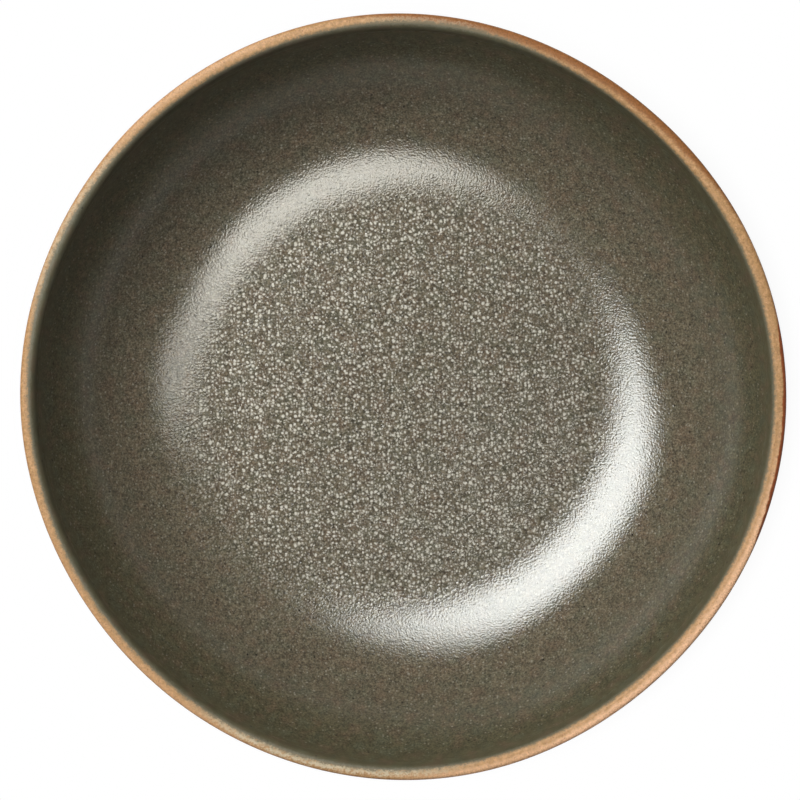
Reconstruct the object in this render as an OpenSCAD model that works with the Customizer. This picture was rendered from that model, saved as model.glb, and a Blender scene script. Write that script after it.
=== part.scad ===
// Stoneware pasta bowl: a wide, shallow bowl on a low foot ring, glazed inside and out,
// with a caramel band where the glaze breaks over the lip.
// Every piece is a section in the x (radius) and y (height) plane, turned once about the
// upright axis. Millimetres, origin on the table under the middle of the bowl, +Z up.

/* [Bowl] */
// Overall diameter across the lip, over the glaze
bowl_d = 220; // [190:1:270]
// Overall height from the table to the top of the lip
bowl_h = 50; // [42:1:62]

/* [Clay floor and wall] */
// Diameter of the flat inside floor, where the wall starts to rise
floor_d = 104; // [70:1:124]
// Thickness of the clay floor
floor_t = 6; // [5:0.5:9]
// Thickness of the clay wall at the lip
lip_t = 3.8; // [3:0.1:5]

/* [Foot ring] */
// Outside diameter of the foot ring
foot_d = 108; // [80:1:124]
// Height of the foot ring, from the table to the clay floor
foot_h = 6; // [4:0.5:9]
// Width of the foot ring
foot_w = 6; // [4:0.5:12]
// Radius of the two eased edges that stand on the table
foot_edge_r = 1.2; // [0.4:0.1:1.8]

/* [Glaze] */
// Thickness of each glaze coat
glaze_t = 0.4; // [0.2:0.05:0.8]
// Width of the caramel band seen from above, in from the outer edge of the lip
band_w = 3.8; // [2.6:0.1:4.2]
// Depth of the caramel band down the outside, from the top of the lip
band_drop = 7; // [3:0.5:14]

/* [Hidden] */
$fn = 180;

floor_r = floor_d / 2;
foot_r = foot_d / 2;
foot_in_r = foot_r - foot_w;
// Height of the clay floor inside the bowl, before it is glazed
floor_z = foot_h + floor_t;

// The lip is a round bead, half a wall in radius, under one coat of glaze
lip_r = lip_t / 2;
lip_x = bowl_d / 2 - glaze_t - lip_r;
lip_z = bowl_h - glaze_t - lip_r;

// Inside arc of the clay: it leaves the floor level at floor_r and touches the bead
in_run = lip_x - floor_r;
in_rise = lip_z - floor_z;
in_r = (in_run * in_run + in_rise * in_rise - lip_r * lip_r) / (2 * (in_rise + lip_r));
in_centre = [floor_r, floor_z + in_r];

// Outside arc of the clay: it leaves the foot ring level at foot_r and touches the bead
out_run = lip_x - foot_r;
out_rise = lip_z - foot_h;
out_r = (out_run * out_run + out_rise * out_rise - lip_r * lip_r) / (2 * (out_rise - lip_r));
out_centre = [foot_r, foot_h + out_r];

// The two lines from the bead's centre to the points where the arcs touch it
lip_centre = [lip_x, lip_z];
to_inside = (in_centre - lip_centre) / norm(in_centre - lip_centre);
to_outside = (lip_centre - out_centre) / norm(lip_centre - out_centre);

// Radius inside which the glaze is dark, and height above which the outside is caramel
band_x = bowl_d / 2 - band_w;
band_z = bowl_h - band_drop;

// How far cutting shapes reach past the bowl
reach = bowl_d;

// Everything at a radius greater than x
module beyond(x) {
    translate([x, -reach]) square([reach, 2 * reach]);
}

// Everything at a radius less than x
module within(x) {
    translate([0, -reach]) square([x, 2 * reach]);
}

// Everything higher than z
module above(z) {
    translate([0, z]) square([reach, reach]);
}

// The hollow of the bare clay bowl, with its surface moved outwards by deeper
module hollow(deeper) {
    translate([0, floor_z - deeper]) square([floor_r, reach]);
    intersection() {
        translate(in_centre) circle(in_r + deeper);
        beyond(floor_r);
    }
}

// The outside shape of the bare clay bowl as if it were solid, grown by coat
module outside(coat) {
    translate([0, foot_h - coat]) square([foot_r, reach]);
    intersection() {
        translate(out_centre) circle(out_r + coat);
        beyond(foot_r);
    }
}

// All that lies below the two lines where the wall ends and the lip's bead begins
module below_lip() {
    inner = lip_centre + to_inside * bowl_h;
    outer = lip_centre + to_outside * bowl_h;
    polygon([[0, -reach], [outer[0], -reach], outer, lip_centre, inner, [0, inner[1]]]);
}

// Section of the floor, wall and lip, grown on every side by coat
module bowl_section(coat) {
    intersection() {
        difference() {
            outside(coat);
            hollow(-coat);
        }
        below_lip();
    }
    translate(lip_centre) circle(lip_r + coat);
}

// Section of one unbroken coat of glaze all over the floor, wall and lip
module coat_section() {
    difference() {
        bowl_section(glaze_t);
        bowl_section(0);
    }
}

// The side of the coat that food touches, in to the dark glaze's edge on the lip
module food_side() {
    intersection() {
        hollow(lip_r);
        within(band_x);
    }
}

// Clay floor, wall and lip, fired in one piece
module clay_body() {
    color([0.72, 0.56, 0.40])
        rotate_extrude() bowl_section(0);
}

// Bare clay ring that the bowl stands on, joined to the flat of the clay floor
module foot_ring() {
    inner_edge_x = foot_in_r + foot_edge_r;
    outer_edge_x = foot_r - foot_edge_r;
    color([0.76, 0.62, 0.46])
        rotate_extrude() {
            translate([foot_in_r, foot_edge_r]) square([foot_w, foot_h - foot_edge_r]);
            translate([inner_edge_x, 0]) square([outer_edge_x - inner_edge_x, foot_edge_r]);
            for (x = [inner_edge_x, outer_edge_x])
                translate([x, foot_edge_r]) circle(foot_edge_r);
        }
}

// Dark speckled glaze over the floor and up the inside of the wall
module inside_glaze() {
    color([0.34, 0.31, 0.27])
        rotate_extrude() intersection() {
            coat_section();
            food_side();
        }
}

// Caramel band where the glaze breaks thin over the lip
module rim_band() {
    color([0.80, 0.60, 0.40])
        rotate_extrude() difference() {
            intersection() {
                coat_section();
                above(band_z);
            }
            food_side();
        }
}

// Dark glaze down the outside, from the caramel band to the foot ring
module outside_glaze() {
    color([0.30, 0.28, 0.24])
        rotate_extrude() difference() {
            intersection() {
                coat_section();
                beyond(foot_r);
            }
            food_side();
            above(band_z);
        }
}

// Disc of glaze in the shallow recess that the foot ring surrounds
module base_glaze() {
    color([0.30, 0.28, 0.24])
        translate([0, 0, foot_h - glaze_t]) cylinder(r = foot_in_r, h = glaze_t);
}

clay_body();
foot_ring();
inside_glaze();
rim_band();
outside_glaze();
base_glaze();
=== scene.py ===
"""A stoneware pasta bowl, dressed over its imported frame.

The bowl is thrown clay under four coats of glaze: a dark speckled coat inside, a
caramel band where it breaks over the lip, a dark coat outside and a disc of it inside
the foot ring. Every piece is a closed shell. The clay and the three large coats follow
one section of the bowl, and the lip wanders a little, as a hand-formed lip does.
Lengths are in metres. Directions are counted from +X towards +Y, in degrees where a
field gives them and in radians where they are worked with.
"""

from __future__ import annotations

import logging
import math
from dataclasses import dataclass, field
from enum import Enum

import bpy
from mathutils import Matrix, Vector, noise

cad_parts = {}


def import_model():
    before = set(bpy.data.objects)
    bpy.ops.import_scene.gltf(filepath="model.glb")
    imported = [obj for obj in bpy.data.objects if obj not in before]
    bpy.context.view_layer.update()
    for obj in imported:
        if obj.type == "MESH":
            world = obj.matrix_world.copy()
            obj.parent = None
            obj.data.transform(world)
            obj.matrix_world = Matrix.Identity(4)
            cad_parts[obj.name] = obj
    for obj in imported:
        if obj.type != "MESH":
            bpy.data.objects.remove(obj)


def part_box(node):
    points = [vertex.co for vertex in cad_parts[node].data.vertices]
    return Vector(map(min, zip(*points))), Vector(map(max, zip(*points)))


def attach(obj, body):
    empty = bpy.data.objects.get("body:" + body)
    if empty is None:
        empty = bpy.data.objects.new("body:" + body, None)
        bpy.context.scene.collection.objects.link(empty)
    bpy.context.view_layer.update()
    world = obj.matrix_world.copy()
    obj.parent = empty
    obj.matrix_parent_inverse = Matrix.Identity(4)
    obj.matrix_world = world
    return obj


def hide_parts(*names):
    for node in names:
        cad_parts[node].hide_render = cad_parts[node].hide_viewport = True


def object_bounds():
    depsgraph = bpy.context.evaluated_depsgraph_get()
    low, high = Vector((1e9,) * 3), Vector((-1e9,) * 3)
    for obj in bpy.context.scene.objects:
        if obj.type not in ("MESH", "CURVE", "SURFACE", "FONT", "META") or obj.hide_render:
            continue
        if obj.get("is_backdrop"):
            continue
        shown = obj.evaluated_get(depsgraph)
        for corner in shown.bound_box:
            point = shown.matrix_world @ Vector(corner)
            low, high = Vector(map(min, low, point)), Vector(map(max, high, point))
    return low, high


LOG = logging.getLogger("pasta_bowl")
MM = 0.001

Colour = tuple[float, float, float]
Point = tuple[float, float, float]
Pair = tuple[float, float]
Socket = bpy.types.NodeSocket

# Points in a ring round the bowl, and the direction of each
SEGMENTS = 480
DIRECTIONS = [math.tau * i / SEGMENTS for i in range(SEGMENTS)]

# The level about which soft noise swings
MEAN = 0.5


def paint(red: int, green: int, blue: int) -> Colour:
    """Turns a colour as a paint chart writes it into the linear light of a shader.

    Args:
        red: Red, from 0 to 255.
        green: Green, from 0 to 255.
        blue: Blue, from 0 to 255.

    Returns:
        The same colour as three linear shares.
    """

    def linear(level: int) -> float:
        """Returns one level as linear light."""
        share = level / 255
        return share / 12.92 if share <= 0.04045 else ((share + 0.055) / 1.055) ** 2.4

    return (linear(red), linear(green), linear(blue))


def span(start: float, end: float) -> Pair:
    """Returns the two ends of a rise or a fall, given in millimetres."""
    return (start * MM, end * MM)


def ease(value: float, low: float, high: float) -> float:
    """Rises smoothly from 0 at low to 1 at high.

    Args:
        value: The value to place.
        low: Where the rise starts.
        high: Where the rise ends.

    Returns:
        A share from 0 to 1.
    """
    share = min(1.0, max(0.0, (value - low) / (high - low)))
    return share * share * (3 - 2 * share)


def all_round(place: float) -> list[float]:
    """Returns the same place for every direction."""
    return [place] * SEGMENTS


def between(start: list[float], end: list[float], steps: int) -> list[list[float]]:
    """Lays lines of places evenly from one line round the bowl to just before another.

    Args:
        start: Place of the first line in each direction.
        end: Place of the last line in each direction, which is left out.
        steps: How many lines.

    Returns:
        The places of each line.
    """
    return [[a + (b - a) * i / steps for a, b in zip(start, end)] for i in range(steps)]


def level_ring(radius: float, height: float) -> list[Point]:
    """Returns the points of a round, level ring."""
    return [(radius * math.cos(a), radius * math.sin(a), height) for a in DIRECTIONS]


def bend(centre: Pair, radius: float, start: float, end: float, steps: int) -> list[Pair]:
    """Finds the points of a round corner in the section.

    Args:
        centre: Radius and height of its centre.
        radius: Its own radius.
        start: Angle of its first point over the level, in degrees.
        end: Angle of its last point.
        steps: Steps between them.

    Returns:
        The radius and the height of each point.
    """
    turns = [math.radians(start + (end - start) * i / steps) for i in range(steps + 1)]
    return [(centre[0] + radius * math.cos(t), centre[1] + radius * math.sin(t)) for t in turns]


@dataclass(frozen=True)
class Sway:
    """One even wave round the bowl.

    Attributes:
        order: How many crests it has in one turn.
        amount: Height of a crest over the mean.
        towards: Direction of one crest.
    """

    order: int
    amount: float
    towards: float

    def at(self, angle: float) -> float:
        """Returns the wave's height in one direction."""
        return self.amount * math.cos(self.order * (angle - math.radians(self.towards)))


def swayed(sways: tuple[Sway, ...], angle: float) -> float:
    """Returns the height of several waves together in one direction."""
    return sum(sway.at(angle) for sway in sways)


@dataclass(frozen=True)
class Patch:
    """A stretch of the lip where something shows more.

    Attributes:
        towards: Direction of its middle.
        reach: Half of its length, in degrees, fading at both ends.
        share: How strongly it shows in the middle, from 0 to 1.
        full: Share of its reach over which it shows as strongly as in the middle.
    """

    towards: float
    reach: float
    share: float
    full: float = 0.4

    def at(self, angle: float) -> float:
        """Returns how strongly it shows in one direction."""
        apart = (math.degrees(angle) - self.towards + 180) % 360 - 180
        return self.share * (1 - ease(abs(apart), self.full * self.reach, self.reach))


class Slot(Enum):
    """The record's material slots."""

    CLAY = "clay"
    BARE_FOOT = "bare_foot"
    SPECKLED = "speckled_glaze"
    CARAMEL = "caramel_glaze"
    DARK = "dark_glaze"


@dataclass(frozen=True)
class Arc:
    """A round stretch of the glazed skin, from level up to the lip.

    Attributes:
        centre: Radius and height of its centre, right above its level start.
        radius: Its own radius.
        turn: Angle from its level start to the lip, in radians.
    """

    centre: Pair
    radius: float
    turn: float

    def point(self, run: float, out: float) -> Pair:
        """Finds a point on the arc or beside it.

        Args:
            run: Distance along the arc from its level start.
            out: How far the point lies beyond the arc, seen from its centre.

        Returns:
            The radius and the height of the point.
        """
        turn, reach = run / self.radius, self.radius + out
        return (self.centre[0] + reach * math.sin(turn), self.centre[1] - reach * math.cos(turn))


@dataclass
class BowlSection:
    """The section that every coat follows, and the wander of the lip.

    A place on the section is a distance along the glazed skin from the crown of the
    lip: positive towards the middle of the inside, negative down the outside. A depth
    is measured from the skin into the clay.

    Attributes:
        rim_r: Radius of the bowl over the glaze.
        height: Height of the bowl over the glaze.
        coat: Thickness of the glaze.
        floor_z: Height of the clay floor inside the bowl.
        foot_r: Outside radius of the foot ring.
        foot_z: Height of the foot ring.
        lip_r: Radius of the clay bead that rounds off the lip.
        floor_r: Radius of the flat floor.
        lip_sways: How far the lip stands out from round.
        level_sways: How far the lip stands up from level.
        line_width: Mean width of the caramel band seen from above.
        line_sways: How far the inner edge of the caramel band wavers.
        wander_starts_r: Radius from which the wall follows the lip's wander.
        dish: How far the middle of the floor is sunk.
        dish_span: Radii between which the floor comes up again.
        lip_order: How square the outer half of the lip is, 2 for a round one.
        wander_steps: Directions in which the widest point of the lip is looked for.
    """

    rim_r: float
    height: float
    coat: float
    floor_z: float
    foot_r: float
    foot_z: float
    lip_r: float = 1.9 * MM
    floor_r: float = 52 * MM
    lip_sways: tuple[Sway, ...] = (
        Sway(2, 0.31 * MM, 132),
        Sway(3, 0.26 * MM, 12),
        Sway(4, 0.42 * MM, 2),
        Sway(7, 0.07 * MM, 27),
    )
    level_sways: tuple[Sway, ...] = (
        Sway(2, 0.12 * MM, 40),
        Sway(3, 0.10 * MM, 75),
        Sway(5, 0.05 * MM, 10),
    )
    line_width: float = 3.29 * MM
    line_sways: tuple[Sway, ...] = (
        Sway(1, 0.63 * MM, -3),
        Sway(2, 0.09 * MM, -86),
        Sway(3, 0.06 * MM, -36),
        Sway(4, 0.31 * MM, 35),
        Sway(5, 0.18 * MM, -21),
        Sway(6, 0.15 * MM, -3),
        Sway(7, 0.07 * MM, -24),
        Sway(8, 0.09 * MM, 7),
    )
    wander_starts_r: float = 60 * MM
    dish: float = 0.7 * MM
    dish_span: Pair = span(25, 68)
    lip_order: float = 4.0
    wander_steps: int = 720

    # The lip's bead, the two arcs, the places where one stretch meets the next, and how
    # far the lip stands out and up where it does so most
    bead: Pair = field(init=False)
    bead_r: float = field(init=False)
    inside: Arc = field(init=False)
    outside: Arc = field(init=False)
    bead_inside: float = field(init=False)
    bead_outside: float = field(init=False)
    floor_at: float = field(init=False)
    middle_at: float = field(init=False)
    foot_at: float = field(init=False)
    widest: float = field(init=False)
    tallest: float = field(init=False)

    def __post_init__(self) -> None:
        """Works out the stretches that the section is made of."""
        self.bead = (self.rim_r - self.coat - self.lip_r, self.height - self.coat - self.lip_r)
        self.bead_r = self.lip_r + self.coat
        self.inside = self.arc((self.floor_r, self.floor_z), 1)
        self.outside = self.arc((self.foot_r, self.foot_z), -1)
        self.bead_inside = self.bead_r * self.inside.turn
        self.bead_outside = self.bead_r * (math.pi - self.outside.turn)
        self.floor_at = self.bead_inside + self.inside.radius * self.inside.turn
        self.middle_at = self.floor_at + self.floor_r
        self.foot_at = -self.bead_outside - self.outside.radius * self.outside.turn
        angles = [math.tau * i / self.wander_steps for i in range(self.wander_steps)]
        self.widest = max(swayed(self.lip_sways, a) for a in angles)
        self.tallest = max(swayed(self.level_sways, a) for a in angles)

    def arc(self, start: Pair, side: int) -> Arc:
        """Finds the arc that leaves the level and touches the bead of the lip.

        Args:
            start: Radius and height of the clay where it leaves the level.
            side: 1 on the inside of the bowl, -1 on the outside.

        Returns:
            The arc of the skin over the clay.
        """
        run, rise = self.bead[0] - start[0], self.bead[1] - start[1]
        clay_r = (run**2 + rise**2 - self.lip_r**2) / (2 * (rise + side * self.lip_r))
        centre = (start[0], start[1] + clay_r)
        turn = math.atan2(self.bead[0] - centre[0], centre[1] - self.bead[1])
        return Arc(centre, clay_r - side * self.coat, turn)

    def sunk(self, radius: float) -> float:
        """Returns how far the inside is sunk at a radius, since the floor is a little dished."""
        return self.dish * (1 - ease(radius, *self.dish_span))

    def swell(self, turn: float) -> float:
        """Finds how far the lip stands out from a round bead, which flattens its outer half.

        Args:
            turn: Angle from the crown, in radians, negative towards the outside.

        Returns:
            A share of the bead's radius, 1 where it is round.
        """
        if not -math.pi / 2 < turn < 0:
            return 1.0
        order = self.lip_order
        return (abs(math.sin(turn)) ** order + abs(math.cos(turn)) ** order) ** (-1 / order)

    def point(self, place: float, depth: float) -> Pair:
        """Finds a point of the true, even section.

        Args:
            place: Distance along the skin from the crown of the lip.
            depth: Depth under the skin.

        Returns:
            The radius and the height of the point.
        """
        if place > self.floor_at:
            radius = max(0.0, self.middle_at - place)
            return (radius, self.floor_z + self.coat - self.sunk(radius) - depth)
        if place > self.bead_inside:
            radius, height = self.inside.point(self.floor_at - place, depth)
            return (radius, height - self.sunk(radius))
        if place < -self.bead_outside:
            return self.outside.point(place - self.foot_at, -depth)
        turn = place / self.bead_r
        reach = (self.bead_r - depth) * self.swell(turn)
        return (self.bead[0] - reach * math.sin(turn), self.bead[1] + reach * math.cos(turn))

    def wander(self, radius: float, height: float, angle: float) -> Point:
        """Carries a point of the true section into the hand-formed bowl.

        Args:
            radius: Radius of the point.
            height: Height of the point.
            angle: Direction of the point.

        Returns:
            The place of the point in the bowl.
        """
        share = ease(radius, self.wander_starts_r, self.rim_r)
        radius += share * (swayed(self.lip_sways, angle) - self.widest)
        height += share * (swayed(self.level_sways, angle) - self.tallest)
        return (radius * math.cos(angle), radius * math.sin(angle), height)

    def glaze_line(self, angle: float) -> float:
        """Returns the place where the dark inside glaze starts, in one direction."""
        width = self.line_width + swayed(self.line_sways, angle)
        return self.bead_r * (math.acos(1 - width / self.bead_r) - math.pi / 2)


@dataclass(frozen=True)
class Relief:
    """The slow unevenness of a coat, which bends the highlights on it.

    Attributes:
        wide: Height of the broad swells.
        wide_size: Distance between the broad swells.
        narrow: Height of the small swells.
        narrow_size: Distance between the small swells.
    """

    wide: float = 0.030 * MM
    wide_size: float = 14 * MM
    narrow: float = 0.010 * MM
    narrow_size: float = 5 * MM

    def at(self, place: Point) -> float:
        """Finds how far the skin is sunk.

        Args:
            place: Where.

        Returns:
            The depth, never less than 0.
        """
        wide = noise.noise(Vector(place) / self.wide_size)
        narrow = noise.noise(Vector(place) / self.narrow_size)
        return self.wide * (1 + wide) / 2 + self.narrow * (1 + narrow) / 2


class Shell:
    """Builds one closed shell from rings of points round the axis."""

    def __init__(self, name: str) -> None:
        """Starts an empty shell.

        Args:
            name: Name of its piece.
        """
        self.name = name
        self.vertices: list[Point] = []
        self.faces: list[tuple[int, ...]] = []
        self.crisp: set[frozenset[int]] = set()
        self.notes: dict[str, list[float]] = {}

    def ring(self, points: list[Point], notes: dict[str, list[float]]) -> int:
        """Adds one ring of points, or one point where the ring has closed up.

        Args:
            points: The ring's points, in order round the bowl.
            notes: Values that the finish reads, one for each point.

        Returns:
            The number of the ring's first point, by which the ring is called.
        """
        first = len(self.vertices)
        self.vertices.extend(points)
        for key, values in notes.items():
            self.notes.setdefault(key, []).extend(values)
        return first

    def cover(self, rings: list[int]) -> None:
        """Covers the way from each ring to the next with a band of faces.

        The faces look up where the rings run inwards, and outwards where they run up.

        Args:
            rings: The rings, in order.
        """
        for first, second in zip(rings, rings[1:]):
            for i in range(SEGMENTS):
                j = (i + 1) % SEGMENTS
                self.faces.append((first + i, first + j, second + j, second + i))

    def fan(self, ring: int, middle: int, flipped: bool = False) -> None:
        """Closes a ring on one middle point.

        Args:
            ring: The ring.
            middle: The middle point.
            flipped: Whether the faces look the other way.
        """
        for i in range(SEGMENTS):
            here, there = ring + i, ring + (i + 1) % SEGMENTS
            self.faces.append((there, here, middle) if flipped else (here, there, middle))

    def keep_crisp(self, *rings: int) -> None:
        """Keeps rings crisp, where two skins meet at a corner."""
        for ring in rings:
            self.crisp |= {frozenset((ring + i, ring + (i + 1) % SEGMENTS)) for i in range(SEGMENTS)}

    def finish(self) -> bpy.types.Object:
        """Makes the object.

        Returns:
            The new object, with smooth faces and crisp corners.
        """
        mesh = bpy.data.meshes.new(self.name)
        mesh.from_pydata(self.vertices, [], self.faces)
        for key, values in self.notes.items():
            mesh.attributes.new(key, "FLOAT", "POINT").data.foreach_set("value", values)
        mesh.update()
        mesh.shade_smooth()
        flags = [frozenset(edge.vertices) in self.crisp for edge in mesh.edges]
        mesh.attributes.new("sharp_edge", "BOOLEAN", "EDGE").data.foreach_set("value", flags)
        mesh.validate()
        piece = bpy.data.objects.new(self.name, mesh)
        bpy.context.scene.collection.objects.link(piece)
        return piece


class Nodes:
    """Writes a node tree, one step after another."""

    def __init__(self, tree: bpy.types.NodeTree, output: str) -> None:
        """Empties a tree and starts it with its output.

        Args:
            tree: The tree.
            output: The output node's type.
        """
        self.tree = tree
        self.tree.nodes.clear()
        self.output = self.add(output)

    def feed(self, target: Socket, value: Socket | float | Colour | Point) -> None:
        """Links a socket, or sets it where value is a plain number or colour.

        Args:
            target: The input.
            value: What it takes.
        """
        if isinstance(value, bpy.types.NodeSocket):
            self.tree.links.new(value, target)
        elif isinstance(value, tuple) and len(target.default_value) == 4:
            target.default_value = (*value, 1.0)
        else:
            target.default_value = value

    def add(
        self, kind: str, inputs: dict[str | int, object] | None = None, **settings: object
    ) -> bpy.types.Node:
        """Adds a node.

        Args:
            kind: The node's type.
            inputs: What its inputs take, by name or number.
            settings: Its properties, by name.

        Returns:
            The node.
        """
        node = self.tree.nodes.new(kind)
        for key, value in settings.items():
            setattr(node, key, value)
        for key, value in (inputs or {}).items():
            self.feed(node.inputs[key], value)
        return node

    def end(self, shader: bpy.types.Node) -> None:
        """Sends a shader to the output."""
        self.feed(self.output.inputs["Surface"], shader.outputs[0])

    def reckon(self, kind: str, *values: Socket | float) -> Socket:
        """Works out one number.

        Args:
            kind: The operation.
            values: What it works on.

        Returns:
            The result.
        """
        return self.add("ShaderNodeMath", dict(enumerate(values)), operation=kind).outputs[0]

    def times(self, first: Socket | float, second: Socket | float) -> Socket:
        """Returns the product of two numbers."""
        return self.reckon("MULTIPLY", first, second)

    def scaled(self, value: Socket, factor: float, start: Socket | float) -> Socket:
        """Returns value times factor, added to start."""
        return self.reckon("MULTIPLY_ADD", value, factor, start)

    def ramp(self, share: Socket, start: float, end: float) -> Socket:
        """Returns the number that lies a share of the way from start to end."""
        return self.scaled(share, end - start, start)

    def split(self, vector: Socket) -> bpy.types.NodeOutputs:
        """Returns the parts X, Y and Z of a vector."""
        return self.add("ShaderNodeSeparateXYZ", {0: vector}).outputs

    def camera_ray(self) -> Socket:
        """Returns 1 where the camera looks straight at a surface, and 0 otherwise."""
        return self.add("ShaderNodeLightPath").outputs["Is Camera Ray"]

    def ease(self, value: Socket, low: float, high: float) -> Socket:
        """Rises smoothly from 0 where value is low to 1 where it is high.

        Args:
            value: What is placed.
            low: Where the rise starts.
            high: Where the rise ends, which may be less than low.

        Returns:
            A share from 0 to 1.
        """
        falling = low > high
        inputs = {
            "Value": value,
            "From Min": min(low, high),
            "From Max": max(low, high),
            "To Min": 1.0 if falling else 0.0,
            "To Max": 0.0 if falling else 1.0,
        }
        return self.add("ShaderNodeMapRange", inputs, interpolation_type="SMOOTHSTEP").outputs["Result"]


class Surface(Nodes):
    """Writes one material, whose finish goes by the place on the object."""

    def __init__(self, name: str) -> None:
        """Starts a material.

        Args:
            name: Its name.
        """
        self.material = bpy.data.materials.new(name)
        self.material.use_nodes = True
        super().__init__(self.material.node_tree, "ShaderNodeOutputMaterial")
        self.place = self.add("ShaderNodeTexCoord").outputs["Object"]

    def vector(self, kind: str, *values: Socket | Point) -> bpy.types.Node:
        """Works on vectors.

        Args:
            kind: The operation.
            values: What it works on.

        Returns:
            The node, whose outputs are Vector and Value.
        """
        return self.add("ShaderNodeVectorMath", dict(enumerate(values)), operation=kind)

    def stretched(self, vector: Socket, factor: Socket | float) -> Socket:
        """Returns a vector or a colour times a number."""
        inputs = {0: vector, "Scale": factor}
        return self.add("ShaderNodeVectorMath", inputs, operation="SCALE").outputs["Vector"]

    def radius(self) -> Socket:
        """Returns the distance from the bowl's upright axis."""
        level = self.vector("MULTIPLY", self.place, (1.0, 1.0, 0.0)).outputs["Vector"]
        return self.vector("LENGTH", level).outputs["Value"]

    def along(self, way: Point) -> Socket:
        """Returns how far the place lies along a way, times the way's length."""
        return self.vector("DOT_PRODUCT", self.place, way).outputs["Value"]

    def note(self, key: str) -> Socket:
        """Reads a value that the mesh carries."""
        return self.add("ShaderNodeAttribute", attribute_name=key).outputs["Fac"]

    def swells(self, size: float, detail: float) -> bpy.types.Node:
        """Makes soft noise.

        Args:
            size: Distance between its swells.
            detail: How many finer layers it has.

        Returns:
            The node, whose outputs are Fac and Color.
        """
        inputs = {"Vector": self.place, "Scale": 1 / size, "Detail": detail}
        return self.add("ShaderNodeTexNoise", inputs)

    def grain(self, size: float, detail: float = 2.0) -> Socket:
        """Returns soft noise as one number."""
        return self.swells(size, detail).outputs["Fac"]

    def jitter(self, size: float, reach: float, detail: float = 1.0) -> Socket:
        """Finds the place on the object, pushed about by noise.

        Args:
            size: Distance between the swells of the noise.
            reach: How far it pushes.
            detail: How many finer layers the noise has.

        Returns:
            The new place.
        """
        colour = self.swells(size, detail).outputs["Color"]
        push = self.vector("SUBTRACT", colour, (MEAN, MEAN, MEAN)).outputs["Vector"]
        return self.vector("ADD", self.place, self.stretched(push, reach)).outputs["Vector"]

    def cells(self, size: float, at: Socket, level: bool = False) -> tuple[Socket, Socket]:
        """Scatters points.

        Args:
            size: Mean distance between the points.
            at: The place on the object.
            level: Whether they are laid out on the level and drawn straight down.

        Returns:
            The distance to the nearest point, in sizes, and that point's own number.
        """
        inputs = {"Vector": at, "Scale": 1 / size}
        node = self.add("ShaderNodeTexVoronoi", inputs, voronoi_dimensions="2D" if level else "3D")
        own = self.add("ShaderNodeSeparateColor", {"Color": node.outputs["Color"]})
        return node.outputs["Distance"], own.outputs["Red"]

    def mix(self, share: Socket, low: Socket | Colour, high: Socket | Colour, most: float = 1.0) -> Socket:
        """Blends two colours.

        Args:
            share: How much of the second colour.
            low: The first colour.
            high: The second colour.
            most: How much of the second colour there is where share is 1.

        Returns:
            The blend.
        """
        share = share if most == 1.0 else self.times(share, most)
        return self.add("ShaderNodeMix", {0: share, 6: low, 7: high}, data_type="RGBA").outputs[2]

    def shade(self, share: Socket, colour: Socket, amount: float) -> Socket:
        """Makes a colour lighter or darker.

        Args:
            share: How light, MEAN where the colour stays as it is.
            colour: The colour.
            amount: How far the lightness swings, as a share of it.

        Returns:
            The new colour.
        """
        return self.stretched(colour, self.ramp(share, 1 - amount / 2, 1 + amount / 2))

    def bump(self, height: Socket, scale: float, under: Socket | None = None) -> Socket:
        """Raises fine relief.

        Args:
            height: Relief from 0 to 1.
            scale: Height of 1.
            under: A coarser relief that this one lies on.

        Returns:
            The bent normal.
        """
        inputs = {"Strength": 1.0, "Distance": scale, "Height": height}
        if under is not None:
            inputs["Normal"] = under
        return self.add("ShaderNodeBump", inputs).outputs["Normal"]


@dataclass(frozen=True)
class Mottle:
    """Soft blotches that stand out from their ground.

    Attributes:
        size: Distance between them.
        detail: How many finer layers they have.
        low: Level of the noise at which a blotch starts.
        high: Level at which it is full.
        swing: How far they swing the lightness of a colour.
    """

    size: float
    detail: float = 2.0
    low: float = 0.3
    high: float = 0.7
    swing: float = 0.0

    def draw(self, surface: Surface) -> Socket:
        """Returns how much of the blotches shows."""
        return surface.ease(surface.grain(self.size, self.detail), self.low, self.high)

    def shade(self, surface: Surface, colour: Socket) -> Socket:
        """Returns a colour made lighter and darker by the blotches."""
        return surface.shade(self.draw(surface), colour, self.swing)


@dataclass(frozen=True)
class FrayedLine:
    """The line between the dark inside glaze and the caramel band, frayed by grain.

    Attributes:
        coarse: The coarse grain in it.
        coarse_reach: How far the coarse grain moves it.
        fine: The fine grain in it.
        fine_reach: How far the fine grain moves it.
    """

    coarse: Mottle = Mottle(1.3 * MM)
    coarse_reach: float = 0.5 * MM
    fine: Mottle = Mottle(0.5 * MM, detail=1.0)
    fine_reach: float = 0.6 * MM

    def away(self, surface: Surface) -> Socket:
        """Finds the distance from the line.

        Args:
            surface: The material.

        Returns:
            The distance, positive on the dark side.
        """
        back = -(self.coarse_reach + self.fine_reach) / 2
        fray = surface.scaled(self.fine.draw(surface), self.fine_reach, back)
        fray = surface.scaled(self.coarse.draw(surface), self.coarse_reach, fray)
        return surface.reckon("ADD", fray, surface.note("from_line"))


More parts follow.
